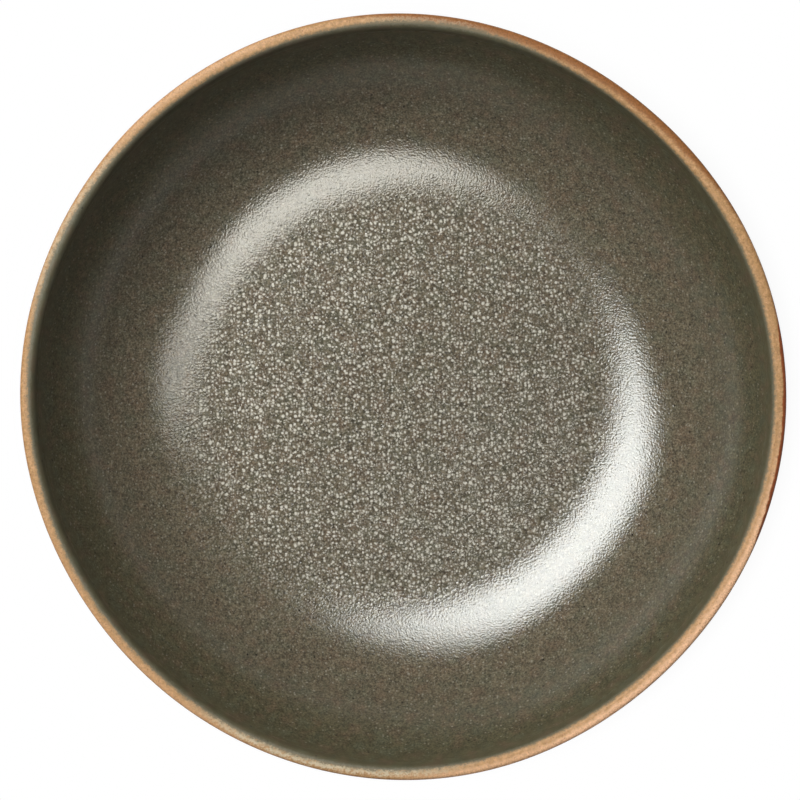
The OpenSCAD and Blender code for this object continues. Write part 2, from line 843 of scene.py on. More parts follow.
@dataclass(frozen=True)
class Spots:
    """Small scattered spots, of which only some show.

    Attributes:
        size: Mean distance between them.
        fade: Distance from a spot's middle where it ends and where it is full, in sizes.
        chosen: The own number at which a spot starts to show and at which it shows fully.
        shake_size: Distance between the swells of the noise that makes them uneven.
        shake: How far that noise pushes them, 0 for even spots.
    """

    size: float
    fade: Pair
    chosen: Pair
    shake_size: float = 0.0
    shake: float = 0.0

    def draw(self, surface: Surface, at: Socket | None = None) -> Socket:
        """Draws the spots.

        Args:
            surface: The material.
            at: Where they are read when they lie on the level, by default the place.

        Returns:
            How much of the spots shows.
        """
        level = at is not None
        if self.shake:
            at = surface.jitter(self.shake_size, self.shake)
        away, own = surface.cells(self.size, at or surface.place, level)
        return surface.times(surface.ease(away, *self.fade), surface.ease(own, *self.chosen))


@dataclass(frozen=True)
class TwoSteps:
    """A rise from 0 to 1 in two steps.

    Attributes:
        first: Where the first step starts and ends.
        second: Where the second step starts and ends.
        share: How much of the rise the first step is.
    """

    first: Pair
    second: Pair
    share: float

    def draw(self, surface: Surface, value: Socket) -> Socket:
        """Returns how far the rise has come at value."""
        step = surface.times(surface.ease(value, *self.first), self.share)
        return surface.scaled(surface.ease(value, *self.second), 1 - self.share, step)


@dataclass(frozen=True)
class Tints:
    """Warmer and cooler patches in a glaze.

    Attributes:
        warm: Colour of the warm ones.
        cool: Colour of the cool ones.
        size: Distance between them.
        detail: How many finer layers they have.
        warm_share: How strongly the warm ones show.
        cool_share: How strongly the cool ones show.
        full: How far the noise is from its mean where a patch is full.
    """

    warm: Colour
    cool: Colour
    size: float
    detail: float
    warm_share: float
    cool_share: float
    full: float = 0.2

    def over(self, surface: Surface, colour: Socket | Colour) -> Socket:
        """Lays the patches over a colour.

        Args:
            surface: The material.
            colour: The colour.

        Returns:
            The new colour.
        """
        patches = surface.grain(self.size, self.detail)
        sides = ((self.full, self.warm, self.warm_share), (-self.full, self.cool, self.cool_share))
        for full, tint, share in sides:
            colour = surface.mix(surface.ease(patches, MEAN, MEAN + full), colour, tint, share)
        return colour


@dataclass(frozen=True)
class Gloss:
    """How a surface shines: a soft sheen under a clear, sharper gloss.

    Attributes:
        sheen_rough: Mean roughness of the sheen.
        sheen_index: How strongly the sheen reflects, as an index of refraction.
        gloss: Weight of the clear gloss.
        gloss_rough: Roughness of the gloss.
        gloss_index: How strongly the gloss reflects.
        swing: How far the roughness of the sheen swings.
        swing_size: Distance between its swings.
        peel_size: Distance between the dimples of the fine relief.
        peel_detail: How many finer layers the relief has.
        peel: Height of the relief.
    """

    sheen_rough: float = 0.12
    sheen_index: float = 1.42
    gloss: float = 1.0
    gloss_rough: float = 0.05
    gloss_index: float = 1.6
    swing: float = 0.16
    swing_size: float = 1.8 * MM
    peel_size: float = 0.57 * MM
    peel_detail: float = 1.0
    peel: float = 0.061 * MM

    def rough(self, surface: Surface) -> Socket:
        """Returns the roughness of the sheen."""
        low, high = self.sheen_rough - self.swing / 2, self.sheen_rough + self.swing / 2
        return surface.ramp(surface.grain(self.swing_size), low, high)

    def relief(self, surface: Surface) -> Socket:
        """Returns the normal that the fine relief bends."""
        return surface.bump(surface.grain(self.peel_size, self.peel_detail), self.peel)

    def end(
        self,
        surface: Surface,
        colour: Socket,
        rough: Socket | None = None,
        normal: Socket | None = None,
        weight: Socket | None = None,
    ) -> bpy.types.Material:
        """Ends a material.

        Args:
            surface: The material.
            colour: Colour of the surface.
            rough: Roughness of the sheen, by default this gloss's own.
            normal: The relief, by default this gloss's own.
            weight: Weight of the clear gloss, by default the same all over.

        Returns:
            The finished material.
        """
        normal = normal or self.relief(surface)
        inputs = {
            "Base Color": colour,
            "Roughness": rough or self.rough(surface),
            "IOR": self.sheen_index,
            "Normal": normal,
            "Coat Weight": weight or self.gloss,
            "Coat Roughness": self.gloss_rough,
            "Coat IOR": self.gloss_index,
            "Coat Normal": normal,
        }
        surface.end(surface.add("ShaderNodeBsdfPrincipled", inputs))
        return surface.material


@dataclass(frozen=True)
class SpeckledGlaze:
    """The inside glaze: dark grey-brown, with pale crystals that settled on the floor.

    Attributes:
        body: Its colour on the wall.
        lip: Its colour high on the wall.
        edge: Its colour next to the caramel band.
        gap: Its colour between the crystals on the floor.
        crystal: Colour of the crystals.
        fleck: Colour of the flecks.
        fringe: Colour of the frayed line where it meets the caramel band.
        pit: Colour of the pits.
        tints: Its warm and cool patches.
        lip_span: Radii over which the wall takes the colour of the lip.
        gap_span: Radii over which it takes the colour of the floor.
        edge_span: Distances from the line over which it takes the colour of the edge.
        clouds, grit, sand: Its coarse, middling and fine blotches.
        lively: Distances from the line over which the two finer ones come in.
        crystal_span: Distances from the axis over which the crystals thin out.
        crystal_lean: How far the crystals' ring leans to one side.
        crystal_crowd: How much more crystal there is to one side.
        blot_size: Distance between the swells that make the crystals' edge uneven.
        blot: How far those swells reach.
        shake_size, shake: Noise that makes the crystals uneven.
        crystal_size: Mean distance between large crystals.
        crystal_reach: How far the smallest and the largest of them reach, in sizes.
        crystal_edge: How softly they end.
        large_share, small_share: How strongly large and small crystals show.
        small: The small crystals.
        thin: How large a crystal still is where they thin out.
        dust, flecks: Fine dust and flecks that go on up the wall.
        dust_shares, fleck_shares: How strongly they show high up and on the floor.
        fleck_span: Radii over which both thin out.
        clear_span: Distances from the line over which both come in.
        pits: The pits.
        pit_share: How strongly they show.
        frayed: The frayed line.
        fringe_span: Distances from the line over which the fringe comes in.
        painted_floor_shade: Painted light and shade on the floor: how much lighter it is towards -X and +Y,
            and darker the other way.
        painted_shade_span: Radii over which the painted shade ends.
        crystal_rise: How far a crystal stands up.
        crystal_rough: How much rougher the sheen is on a crystal.
        crystal_gloss: Share of the clear gloss that is left on a crystal.
        dry: How much rougher the sheen is at the line.
        dry_span: Distances from the line over which that ends.
        glossy: Distances from the line over which the clear gloss comes in.
        gloss: How it shines.
    """

    body: Colour = paint(94, 86, 69)
    lip: Colour = paint(76, 72, 52)
    edge: Colour = paint(81, 76, 55)
    gap: Colour = paint(93, 85, 69)
    crystal: Colour = paint(195, 190, 175)
    fleck: Colour = paint(152, 147, 131)
    fringe: Colour = paint(100, 95, 77)
    pit: Colour = paint(34, 30, 24)
    tints: Tints = Tints(
        warm=paint(100, 80, 64),
        cool=paint(80, 86, 70),
        size=4.5 * MM,
        detail=2.0,
        warm_share=0.35,
        cool_share=0.3,
    )
    lip_span: Pair = span(84, 104)
    gap_span: Pair = span(74, 58)
    edge_span: Pair = span(7, 3)
    clouds: Mottle = Mottle(2.6 * MM, swing=0.2)
    grit: Mottle = Mottle(1.3 * MM, swing=0.3)
    sand: Mottle = Mottle(0.6 * MM, detail=1.0, low=0.27, high=0.73, swing=0.85)
    lively: TwoSteps = TwoSteps(first=span(2, 10), second=span(20, 45), share=0.72)
    crystal_span: Pair = span(84, 60)
    crystal_lean: Point = (-0.045, -0.03, 0.0)
    crystal_crowd: Point = (-0.9, 0.6, 0.0)
    blot_size: float = 7 * MM
    blot: float = 10 * MM
    shake_size: float = 2.2 * MM
    shake: float = 1.0 * MM
    crystal_size: float = 1.27 * MM
    crystal_reach: Pair = (0.07, 0.43)
    crystal_edge: Pair = (-0.08, 0.26)
    large_share: float = 0.88
    small_share: float = 0.5
    small: Spots = Spots(0.85 * MM, fade=(0.5, 0.08), chosen=(0.2, 0.9))
    thin: float = 0.4
    dust: Mottle = Mottle(0.48 * MM, detail=1.0, low=0.54, high=0.74)
    dust_shares: Pair = (0.12, 0.57)
    flecks: Spots = Spots(
        1.1 * MM, fade=(0.38, 0.12), chosen=(0.45, 0.9), shake_size=1.1 * MM, shake=0.5 * MM
    )
    fleck_shares: Pair = (0.42, 0.92)
    fleck_span: Pair = span(104, 66)
    clear_span: Pair = span(2, 9)
    pits: Spots = Spots(2.4 * MM, fade=(0.2, 0.08), chosen=(0.6, 0.8))
    pit_share: float = 0.7
    frayed: FrayedLine = FrayedLine()
    fringe_span: Pair = span(1.1, -0.2)
    # Painted light and shade on the floor: lighter to one side, darker to the other
    painted_floor_shade: Point = (-2.2, 1.4, 0.0)
    painted_shade_span: Pair = span(66, 50)
    crystal_rise: float = 0.018 * MM
    crystal_rough: float = 0.3
    crystal_gloss: float = 0.3
    dry: float = 0.35
    dry_span: Pair = span(6, 1)
    glossy: TwoSteps = TwoSteps(first=span(1, 6), second=span(12, 31), share=0.16)
    gloss: Gloss = Gloss()

    def crystals(self, surface: Surface, radius: Socket) -> Socket:
        """Draws the crystals, crowded over the floor and thinning out up the wall.

        Args:
            surface: The material.
            radius: Distance from the bowl's axis.

        Returns:
            How much crystal shows.
        """
        away = surface.reckon("SUBTRACT", radius, surface.along(self.crystal_lean))
        away = surface.scaled(surface.grain(self.blot_size), self.blot, away)
        spread = surface.ease(away, *self.crystal_span)
        shaken = surface.jitter(self.shake_size, self.shake, 0.0)
        away, own = surface.cells(self.crystal_size, shaken, level=True)
        reach = surface.ramp(own, *self.crystal_reach)
        reach = surface.times(reach, surface.ramp(spread, self.thin, 1.0))
        large = surface.ease(surface.reckon("SUBTRACT", reach, away), *self.crystal_edge)
        large = surface.times(large, self.large_share)
        small = surface.times(self.small.draw(surface, shaken), self.small_share)
        crowd = surface.reckon("ADD", surface.along(self.crystal_crowd), 1.0)
        return surface.times(surface.reckon("MAXIMUM", large, small), surface.times(spread, crowd))

    def marks(self, surface: Surface, radius: Socket, line: Socket) -> Socket:
        """Draws the dust and the flecks that go on up the wall.

        Args:
            surface: The material.
            radius: Distance from the bowl's axis.
            line: Distance from the caramel band.

        Returns:
            How much of them shows.
        """
        fading = surface.ease(radius, *self.fleck_span)
        dust = surface.times(self.dust.draw(surface), surface.ramp(fading, *self.dust_shares))
        flecks = surface.times(self.flecks.draw(surface), surface.ramp(fading, *self.fleck_shares))
        both = surface.reckon("MAXIMUM", dust, flecks)
        return surface.times(both, surface.ease(line, *self.clear_span))

    def material(self) -> bpy.types.Material:
        """Makes the material.

        Returns:
            The finished material.
        """
        surface = Surface("speckled glaze")
        radius, line = surface.radius(), surface.note("from_line")
        colour = surface.mix(surface.ease(radius, *self.lip_span), self.body, self.lip)
        colour = surface.mix(surface.ease(line, *self.edge_span), colour, self.edge)
        colour = surface.mix(surface.ease(radius, *self.gap_span), colour, self.gap)
        calm = self.clouds.shade(surface, self.tints.over(surface, colour))
        colour = self.sand.shade(surface, self.grit.shade(surface, calm))
        colour = surface.mix(self.lively.draw(surface, line), calm, colour)
        colour = surface.mix(self.marks(surface, radius, line), colour, self.fleck)
        crystals = self.crystals(surface, radius)
        colour = surface.mix(crystals, colour, self.crystal)
        # Painted shade: the floor is made lighter towards -X and +Y and darker the other way, as the light
        # falls on it
        floor_shade = surface.times(surface.along(self.painted_floor_shade), surface.ease(radius, *self.painted_shade_span))
        colour = surface.shade(surface.reckon("ADD", floor_shade, MEAN), colour, 1.0)
        pits = self.pits.draw(surface)
        colour = surface.mix(pits, colour, self.pit, self.pit_share)
        fringe = surface.ease(self.frayed.away(surface), *self.fringe_span)
        colour = surface.mix(fringe, colour, self.fringe)

        normal = surface.reckon("SUBTRACT", crystals, pits)
        normal = surface.bump(normal, self.crystal_rise, self.gloss.relief(surface))
        rough = surface.scaled(surface.ease(line, *self.dry_span), self.dry, self.gloss.rough(surface))
        rough = surface.scaled(crystals, self.crystal_rough, rough)
        weight = surface.ramp(crystals, 1.0, self.crystal_gloss)
        weight = surface.times(self.glossy.draw(surface, line), weight)
        return self.gloss.end(surface, colour, rough, normal, weight)


@dataclass(frozen=True)
class SideColour:
    """A darker colour down the outer side of the lip.

    Attributes:
        colour: The colour.
        patch: Name of the patches in which it reaches further up.
        below: How far below the crown it starts.
        climb: How much further up it starts in a full patch.
        fade: Distances from its start over which it comes in.
    """

    colour: Colour
    patch: str
    below: float
    climb: float
    fade: Pair

    def over(self, surface: Surface, colour: Socket, crown: Socket) -> Socket:
        """Lays the darker colour over another.

        Args:
            surface: The material.
            colour: The other colour.
            crown: Distance from the crown of the lip.

        Returns:
            The new colour.
        """
        start = surface.ramp(surface.note(self.patch), self.below, self.below - self.climb)
        down = surface.reckon("ADD", crown, start)
        return surface.mix(surface.ease(down, *self.fade), colour, self.colour)


@dataclass(frozen=True)
class CaramelGlaze:
    """The lip, where the glaze breaks thin over the clay and turns a darker brown down its outer side.

    Attributes:
        crown: Its colour on the crown.
        light: Colour of its lighter blotches.
        pale: Its colour where light is painted on the lip, strongest towards +X and -Y.
        speck: Colour of its specks.
        milk: Its colour in the milky patches.
        fringe: Colour of the frayed line where it meets the dark glaze.
        side_colours: Its darker colours, from the crown down.
        uneven_size, uneven_detail, uneven: Noise that makes the darker colours' edges uneven.
        blotches: The lighter blotches.
        painted_light_span: Distances from the line over which the painted light comes in.
        specks: The specks.
        speck_share: How strongly they show.
        sand: Its fine blotches.
        milky_span: Distances from the line over which the milky patches come in.
        milky: The blotches of the milky patches.
        dull: How far the fringe moves in a dull patch.
        frayed: The frayed line.
        fringe_span: Distances from the line over which the fringe comes in.
        gloss: How it shines.
    """

    crown: Colour = paint(172, 132, 87)
    light: Colour = paint(187, 145, 101)
    # Painted light: the paler colour where the lip catches the lamps
    pale: Colour = paint(229, 182, 141)
    speck: Colour = paint(120, 74, 42)
    milk: Colour = paint(196, 180, 150)
    fringe: Colour = paint(114, 103, 80)
    side_colours: tuple[SideColour, ...] = (
        SideColour(
            paint(139, 90, 48), "toasted", below=2.0 * MM, climb=2.15 * MM, fade=span(0.7, -0.9)
        ),
        SideColour(
            paint(136, 70, 34), "rusty", below=3.0 * MM, climb=1.9 * MM, fade=span(0.15, -0.25)
        ),
    )
    uneven_size: float = 2.2 * MM
    uneven_detail: float = 3.0
    uneven: float = 1.0 * MM
    blotches: Mottle = Mottle(1.1 * MM, detail=3.0, low=0.4, high=0.66)
    painted_light_span: Pair = span(-1.2, -2.4)
    specks: Spots = Spots(
        0.8 * MM, fade=(0.42, 0.14), chosen=(0.4, 0.9), shake_size=0.8 * MM, shake=0.3 * MM
    )
    speck_share: float = 0.42
    sand: Mottle = Mottle(0.5 * MM, detail=1.0, swing=0.3)
    milky_span: Pair = span(-2.2, -1.2)
    milky: Mottle = Mottle(1.0 * MM, detail=3.0, low=0.28, high=0.55)
    dull: float = 1.3 * MM
    frayed: FrayedLine = FrayedLine()
    fringe_span: Pair = span(-1.1, 0.1)
    gloss: Gloss = Gloss(
        sheen_rough=0.55,
        sheen_index=1.3,
        gloss=0.1,
        gloss_rough=0.3,
        gloss_index=1.5,
        swing=0.2,
        swing_size=1.2 * MM,
        peel_size=0.7 * MM,
        peel_detail=2.0,
        peel=0.05 * MM,
    )

    def material(self) -> bpy.types.Material:
        """Makes the material.

        Returns:
            The finished material.
        """
        surface = Surface("caramel glaze")
        line = self.frayed.away(surface)
        uneven = surface.grain(self.uneven_size, self.uneven_detail)
        uneven = surface.ramp(uneven, -self.uneven / 2, self.uneven / 2)
        crown = surface.reckon("ADD", surface.note("from_crown"), uneven)
        colour = surface.mix(self.blotches.draw(surface), self.crown, self.light)
        # Painted light: the lip is paler where it catches the lamps
        pale = surface.times(surface.note("pale"), surface.ease(line, *self.painted_light_span))
        colour = surface.mix(pale, colour, self.pale)
        for side_colour in self.side_colours:
            colour = side_colour.over(surface, colour, crown)
        colour = surface.mix(self.specks.draw(surface), colour, self.speck, self.speck_share)
        colour = self.sand.shade(surface, colour)
        milky = surface.times(surface.note("milky"), surface.ease(line, *self.milky_span))
        milky = surface.times(milky, self.milky.draw(surface))
        colour = surface.mix(milky, colour, self.milk)
        dull = surface.scaled(surface.note("dull"), self.dull, line)
        colour = surface.mix(surface.ease(dull, *self.fringe_span), colour, self.fringe)
        return self.gloss.end(surface, colour)


@dataclass(frozen=True)
class DarkGlaze:
    """The outside and the recess: the same dark glaze, with finer, sparser flecks.

    Attributes:
        body: Its colour.
        iron: Its colour where it breaks iron-red under the caramel band.
        fleck: Colour of the flecks.
        tints: Its warm and cool patches.
        clouds, sand: Its coarse and fine blotches.
        flecks: The flecks.
        fleck_share: How strongly they show.
        uneven_size, uneven_detail, uneven: Noise that makes the iron-red edge uneven.
        iron_span: Distances from the band over which the iron red shows.
        gloss: How it shines.
    """

    body: Colour = paint(88, 81, 66)
    iron: Colour = paint(112, 44, 22)
    fleck: Colour = paint(150, 143, 121)
    tints: Tints = Tints(
        warm=paint(98, 76, 58),
        cool=paint(76, 80, 66),
        size=6 * MM,
        detail=3.0,
        warm_share=0.6,
        cool_share=0.6,
    )
    clouds: Mottle = Mottle(2.6 * MM, swing=0.2)
    sand: Mottle = Mottle(0.62 * MM, detail=1.0, low=0.28, high=0.72, swing=1.0)
    flecks: Spots = Spots(
        1.1 * MM, fade=(0.34, 0.14), chosen=(0.4, 0.8), shake_size=1.1 * MM, shake=0.5 * MM
    )
    fleck_share: float = 0.6
    uneven_size: float = 3 * MM
    uneven_detail: float = 3.0
    uneven: float = 4 * MM
    iron_span: Pair = span(4.6, 1.4)
    gloss: Gloss = Gloss()

    def material(self) -> bpy.types.Material:
        """Makes the material.

        Returns:
            The finished material.
        """
        surface = Surface("dark glaze")
        colour = self.clouds.shade(surface, self.tints.over(surface, self.body))
        colour = self.sand.shade(surface, colour)
        colour = surface.mix(self.flecks.draw(surface), colour, self.fleck, self.fleck_share)
        uneven = surface.grain(self.uneven_size, self.uneven_detail)
        edge = surface.scaled(uneven, self.uneven, surface.note("from_edge"))
        colour = surface.mix(surface.ease(edge, *self.iron_span), colour, self.iron)
        return self.gloss.end(surface, colour)


@dataclass(frozen=True)
class BareClay:
    """Fired clay without glaze: warm buff, dry, with grog and iron specks.

    Attributes:
        name: Name of the material.
        body: Colour of the clay.
        pale: Its colour in the paler blotches.
        iron: Colour of the iron specks.
        blotches: The paler blotches.
        grog_size, grog_detail: Distance between the grains of grog, and their finer layers.
        grog: How far they swing the lightness of the clay.
        specks: The iron specks.
        speck_share: How strongly they show.
        gloss: How it shines.
    """

    name: str
    body: Colour = paint(186, 150, 112)
    pale: Colour = paint(206, 174, 136)
    iron: Colour = paint(96, 62, 40)
    blotches: Mottle = Mottle(9 * MM, detail=3.0, low=0.35, high=0.7)
    grog_size: float = 0.5 * MM
    grog_detail: float = 3.0
    grog: float = 0.4
    specks: Spots = Spots(
        1.2 * MM, fade=(0.24, 0.1), chosen=(0.5, 0.8), shake_size=0.8 * MM, shake=0.3 * MM
    )
    speck_share: float = 0.8
    gloss: Gloss = Gloss(
        sheen_rough=0.82,
        sheen_index=1.5,
        gloss=0.0,
        gloss_rough=0.5,
        gloss_index=1.5,
        swing=0.2,
        swing_size=0.9 * MM,
        peel_size=0.6 * MM,
        peel_detail=3.0,
        peel=0.06 * MM,
    )

    def material(self) -> bpy.types.Material:
        """Makes the material.

        Returns:
            The finished material.
        """
        surface = Surface(self.name)
        colour = surface.mix(self.blotches.draw(surface), self.body, self.pale)
        colour = surface.shade(surface.grain(self.grog_size, self.grog_detail), colour, self.grog)
        colour = surface.mix(self.specks.draw(surface), colour, self.iron, self.speck_share)
        return self.gloss.end(surface, colour)


@dataclass
class Ware:
    """What the clay and the glaze share: one section, and shells that follow it.

    Attributes:
        section: The section that the pieces follow.
        foot_in_r: Inside radius of the foot ring.
    """

    section: BowlSection
    foot_in_r: float

    def notes(self, places: list[float]) -> dict[str, list[float]]:
        """Returns the notes for a ring, of which bare clay needs none."""
        return {}

    def skin(
        self, shell: Shell, lines: list[list[float]], relief: Relief | None = None
    ) -> list[int]:
        """Adds a ring along each line of places, on the glaze or on the clay under it.

        Args:
            shell: The shell.
            lines: Place of each point of each ring along the skin.
            relief: Unevenness of the glaze, or none for the even skin of the clay.

        Returns:
            The rings.
        """
        rings = []
        for places in lines:
            points = []
            for place, angle in zip(places, DIRECTIONS):
                depth = self.section.coat
                if relief is not None:
                    radius, height = self.section.point(place, 0.0)
                    depth = relief.at((radius * math.cos(angle), radius * math.sin(angle), height))
                radius, height = self.section.point(place, depth)
                points.append(self.section.wander(radius, height, angle))
            rings.append(shell.ring(points, self.notes(places)))
        return rings

    def middle(self, shell: Shell, height: float) -> int:
        """Adds a middle point on the axis and returns its number."""
        return shell.ring([(0.0, 0.0, height)], self.notes([self.section.middle_at]))

    def turned(self, name: str, outline: list[Pair]) -> bpy.types.Object:
        """Turns an outline round the axis.

        Args:
            name: Name of the piece.
            outline: Radius and height of each point. Where the first and the last lie on
                the axis the piece closes up there, otherwise the last joins the first.

        Returns:
            The piece.
        """
        shell = Shell(name)
        rings = []
        for radius, height in outline:
            points = level_ring(radius, height) if radius else [(0.0, 0.0, height)]
            rings.append(shell.ring(points, self.notes([self.section.foot_at] * len(points))))
        if outline[0][0]:
            shell.cover([*rings, rings[0]])
        else:
            shell.fan(rings[1], rings[0], flipped=True)
            shell.cover(rings[1:-1])
            shell.fan(rings[-2], rings[-1])
        return shell.finish()

    def dress(
        self, piece: bpy.types.Object, node: str, slot: Slot, material: bpy.types.Material
    ) -> bpy.types.Object:
        """Gives a piece its finish and its place in the frame.

        Args:
            piece: The piece.
            node: The solid it stands for.
            slot: The slot of its finish; not used.
            material: Its finish.

        Returns:
            The piece.
        """
        piece.data.materials.append(material)
        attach(piece, "root")
        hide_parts(node)
        return piece


@dataclass
class Glazing(Ware):
    """The four coats of glaze.

    Attributes:
        band_drop: Depth of the caramel band down the outside.
        relief: Slow unevenness of the glaze.
        patches: Where on the lip each of the caramel glaze's changes shows, and where its painted light is.
        drop_sways: How far the lower edge of the caramel band wavers.
        lip_steps, wall_steps, floor_steps: Rings of the inside coat on each stretch.
        band_steps, outside_steps: Rings of the caramel band and of the outside coat.
        pool_steps: Steps round a corner of pooled glaze.
        pool_r: Radius of the fillet where glaze runs on to the foot ring.
        pool_t: Thickness of the glaze on the foot ring.
        pool_run: How far the outside glaze runs on below the fillet.
        pool_sways: How far its edge wavers.
        speckled: Finish of the inside coat.
        caramel: Finish of the band over the lip.
        dark: Finish of the outside coat and of the disc in the recess.
    """

    band_drop: float
    relief: Relief = Relief()
    patches: dict[str, tuple[Patch, ...]] = field(
        default_factory=lambda: {
            # Where the darker brown on the lip's outer side climbs nearly to the crown
            "toasted": (Patch(63, 40, 1.0),),
            "rusty": (Patch(355, 27, 1.0), Patch(270, 18, 0.5)),
            "milky": (Patch(86, 12, 0.3), Patch(152, 18, 0.45), Patch(258, 26, 1.0)),
            # The pale patches are painted light, where the lip catches the lamps
            "pale": (Patch(324, 37, 1.0), Patch(288, 22, 0.6), Patch(222, 34, 0.35), Patch(124, 20, 0.35)),
            "dull": (Patch(86, 14, 0.35),),
        }
    )
    drop_sways: tuple[Sway, ...] = (
        Sway(1, 0.6 * MM, 200),
        Sway(3, 0.35 * MM, 60),
        Sway(8, 0.12 * MM, 15),
    )
    lip_steps: int = 10
    wall_steps: int = 56
    floor_steps: int = 26
    band_steps: int = 36
    outside_steps: int = 56
    pool_steps: int = 6
    pool_r: float = 1.6 * MM
    pool_t: float = 0.35 * MM
    pool_run: float = 0.75 * MM
    pool_sways: tuple[Sway, ...] = (
        Sway(2, 0.16 * MM, 110),
        Sway(5, 0.14 * MM, 20),
        Sway(11, 0.10 * MM, 3),
        Sway(17, 0.07 * MM, 8),
    )
    speckled: SpeckledGlaze = SpeckledGlaze()
    caramel: CaramelGlaze = CaramelGlaze()
    dark: DarkGlaze = DarkGlaze()

    # Where the glaze line and the band's lower edge lie, and what shows, in each direction
    lines: list[float] = field(init=False)
    band_ends: list[float] = field(init=False)
    shows: dict[str, list[float]] = field(init=False)

    def __post_init__(self) -> None:
        """Works out what differs from one direction to the next."""
        self.lines = [self.section.glaze_line(a) for a in DIRECTIONS]
        self.band_ends = [swayed(self.drop_sways, a) - self.band_drop for a in DIRECTIONS]
        self.shows = {
            key: [min(1.0, sum(patch.at(a) for patch in group)) for a in DIRECTIONS]
            for key, group in self.patches.items()
        }

    def notes(self, places: list[float]) -> dict[str, list[float]]:
        """Notes for the finishes: where each point of a ring lies, and what shows there.

        Args:
            places: Place of each point along the skin.

        Returns:
            The notes by name.
        """
        return {
            "from_line": [place - line for place, line in zip(places, self.lines)],
            "from_crown": places,
            "from_edge": [end - place for place, end in zip(places, self.band_ends)],
            **{key: shares[: len(places)] for key, shares in self.shows.items()},
        }

    def inside_glaze(self) -> bpy.types.Object:
        """Makes the coat over the floor and the inside of the wall.

        Returns:
            The piece.
        """
        section = self.section
        stops = [self.lines]
        stops += [all_round(p) for p in (section.bead_inside, section.floor_at, section.middle_at)]
        lines = []
        for start, end, steps in zip(stops, stops[1:], (self.lip_steps, self.wall_steps, self.floor_steps)):
            lines += between(start, end, steps)
        shell = Shell("speckled_coat")
        top = self.skin(shell, lines, self.relief)
        shell.fan(top[-1], self.middle(shell, section.point(section.middle_at, 0.0)[1]))
        under = self.skin(shell, lines)
        under_z = section.point(section.middle_at, section.coat)[1]
        shell.fan(under[-1], self.middle(shell, under_z), flipped=True)
        shell.cover(under[::-1] + top)
        shell.keep_crisp(top[0], under[0])
        return shell.finish()

    def rim_band(self) -> bpy.types.Object:
        """Makes the caramel band over the lip.

        Returns:
            The piece.
        """
        lines = [*between(self.band_ends, self.lines, self.band_steps), self.lines]
        shell = Shell("lip_band")
        top = self.skin(shell, lines, self.relief)
        under = self.skin(shell, lines)
        shell.cover([*top, *under[::-1], top[0]])
        shell.keep_crisp(top[0], top[-1], under[0], under[-1])
        return shell.finish()

    def outside_glaze(self) -> bpy.types.Object:
        """Makes the coat down the outside, to the foot ring.

        Returns:
            The piece.
        """
        foot = all_round(self.section.foot_at)
        start = self.section.foot_at + self.pool_r + self.pool_t
        shell = Shell("outside_coat")
        lines = between(all_round(start), self.band_ends, self.outside_steps)
        top = self.skin(shell, [*lines, self.band_ends], self.relief)
        lines = between(foot, self.band_ends, self.outside_steps)
        under = self.skin(shell, [*lines, self.band_ends])
        pool = self.pool(shell, self.section.point(start, 0.0), self.notes(foot))
        shell.cover([*under[::-1], *pool[::-1], *top, under[-1]])
        shell.keep_crisp(top[-1], under[-1], under[0])
        return shell.finish()

    def pool(self, shell: Shell, start: Pair, notes: dict[str, list[float]]) -> list[int]:
        """Runs the outside coat down the foot ring, where it pools in an uneven edge.

        Args:
            shell: The shell of the coat.
            start: Radius and height where the skin leaves the bowl's curve.
            notes: Notes for each ring.

        Returns:
            The rings, from the curve to the edge on the foot ring.
        """
        foot_z = start[1] - self.pool_r
        fillet = bend((start[0], foot_z), self.pool_r, 90, 180, self.pool_steps)[1:]
        rings = [shell.ring(level_ring(*point), notes) for point in fillet]
        runs = [self.pool_run + swayed(self.pool_sways, a) for a in DIRECTIONS]
        for point in bend((self.section.foot_r, foot_z), self.pool_t, 0, -90, self.pool_steps):
            points = [(x, y, z - run) for (x, y, z), run in zip(level_ring(*point), runs)]
            rings.append(shell.ring(points, notes))
        return rings

    def base_glaze(self) -> bpy.types.Object:
        """Makes the disc of glaze inside the foot ring, which climbs the ring in a fillet.

        Returns:
            The piece.
        """
        rim, top = self.foot_in_r, self.section.foot_z
        bottom = top - self.section.coat
        flat = rim - self.pool_r - self.pool_t
        low = bottom - self.pool_r
        outline = [(flat * share, bottom) for share in (0.0, 1 / 3, 2 / 3)]
        outline += bend((flat, low), self.pool_r, 90, 0, self.pool_steps)
        outline += bend((rim, low), self.pool_t, 180, 270, self.pool_steps)[1:]
        return self.turned("recess_coat", outline + [(rim, top), (0.0, top)])

    def build(self) -> list[bpy.types.Object]:
        """Makes and dresses the coats.

        Returns:
            The pieces.
        """
        dark = self.dark.material()
        return [
            self.dress(self.inside_glaze(), "inside_glaze", Slot.SPECKLED, self.speckled.material()),
            self.dress(self.rim_band(), "rim_band", Slot.CARAMEL, self.caramel.material()),
            self.dress(self.outside_glaze(), "outside_glaze", Slot.DARK, dark),
            self.dress(self.base_glaze(), "base_glaze", Slot.DARK, dark),
        ]


